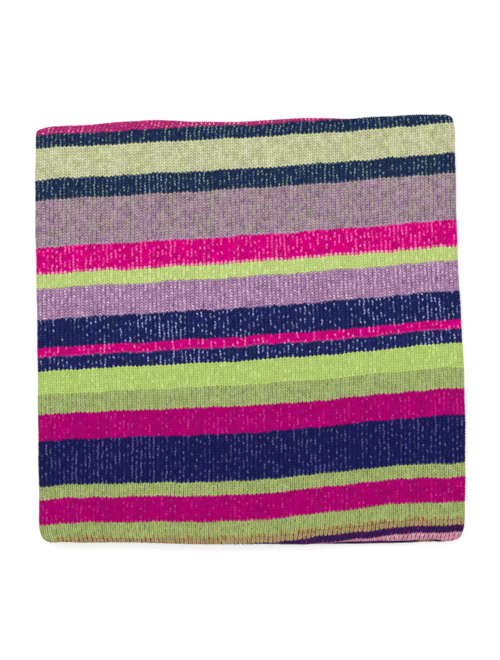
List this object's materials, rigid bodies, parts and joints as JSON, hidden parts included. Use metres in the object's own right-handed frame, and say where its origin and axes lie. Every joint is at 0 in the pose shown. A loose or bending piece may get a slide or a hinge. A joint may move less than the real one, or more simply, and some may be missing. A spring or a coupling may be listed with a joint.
{
  "type": "neck gaiter",
  "caption": "Doubled striped knit tube that warms the neck, laid flat, with rolled rims and a front wall that lifts to open its mouth.",
  "frame": {"origin": "on the table, under the middle of the flat gaiter", "axes": "+X across the neck opening, to the wearer's left when the front faces out; +Y up the gaiter to its upper rim; +Z out of the front wall, away from the table"},
  "size_m": [0.252, 0.252, 0.0126],
  "materials": {
    "magenta_on_lime": "matte",
    "navy_on_lime": "matte",
    "cream_on_lime": "matte",
    "mauve_on_lime": "matte",
    "magenta_on_white": "matte",
    "lime_on_white": "matte",
    "lilac_on_white": "matte",
    "navy_on_white": "matte",
    "olive_on_violet": "matte",
    "magenta_on_violet": "matte",
    "navy_on_violet": "matte",
    "lime_on_violet": "matte",
    "rust_on_red": "matte",
    "navy_on_red": "matte",
    "pink_on_red": "matte",
    "linking_thread": "matte",
    "side_turn_knit": "matte",
    "label_ribbon": "matte",
    "label_thread": "matte"
  },
  "bodies": {
    "back_wall": {"back_00_magenta_rim": "magenta_on_lime", "back_01_navy": "navy_on_lime", "back_02_cream": "cream_on_lime", "back_03_navy": "navy_on_lime", "back_04_mauve": "mauve_on_lime", "back_05_magenta": "magenta_on_white", "back_06_lime": "lime_on_white", "back_07_lilac": "lilac_on_white", "back_08_navy": "navy_on_white", "back_09_magenta": "magenta_on_white", "back_10_navy": "navy_on_white", "back_11_lime": "lime_on_white", "back_12_olive": "olive_on_violet", "back_13_magenta": "magenta_on_violet", "back_14_navy": "navy_on_violet", "back_15_lime": "lime_on_violet", "back_16_magenta": "magenta_on_violet", "back_17_lime": "lime_on_violet", "back_18_rust": "rust_on_red", "back_19_navy": "navy_on_red", "back_20_pink_rim": "pink_on_red", "back_lining_0_magenta_rim": "magenta_on_lime", "back_lining_1_navy": "navy_on_lime", "back_lining_2_linking_seam": "linking_thread", "back_lining_3_mauve": "mauve_on_lime", "back_lining_4_lime": "lime_on_white", "back_lining_5_pink_rim": "pink_on_red", "left_outer_turn": "side_turn_knit", "left_lining_turn": "side_turn_knit", "right_outer_turn": "side_turn_knit", "right_lining_turn": "side_turn_knit", "care_label": "label_ribbon", "label_stitches": "label_thread"},
    "front_wall": {"front_00_magenta_rim": "magenta_on_lime", "front_01_navy": "navy_on_lime", "front_02_cream": "cream_on_lime", "front_03_navy": "navy_on_lime", "front_04_mauve": "mauve_on_lime", "front_05_magenta": "magenta_on_white", "front_06_lime": "lime_on_white", "front_07_lilac": "lilac_on_white", "front_08_navy": "navy_on_white", "front_09_magenta": "magenta_on_white", "front_10_navy": "navy_on_white", "front_11_lime": "lime_on_white", "front_12_olive": "olive_on_violet", "front_13_magenta": "magenta_on_violet", "front_14_navy": "navy_on_violet", "front_15_lime": "lime_on_violet", "front_16_magenta": "magenta_on_violet", "front_17_lime": "lime_on_violet", "front_18_rust": "rust_on_red", "front_19_navy": "navy_on_red", "front_20_pink_rim": "pink_on_red", "front_lining_0_magenta_rim": "magenta_on_lime", "front_lining_1_navy": "navy_on_lime", "front_lining_2_linking_seam": "linking_thread", "front_lining_3_mauve": "mauve_on_lime", "front_lining_4_lime": "lime_on_white", "front_lining_5_pink_rim": "pink_on_red"}
  },
  "joints": [
    {"name": "mouth_open", "type": "slide", "parent": "back_wall", "child": "front_wall", "axis": [0, 0, 1], "range_m": [0, 0.06], "deforming": ["left_outer_turn", "left_lining_turn", "right_outer_turn", "right_lining_turn"]}
  ]
}
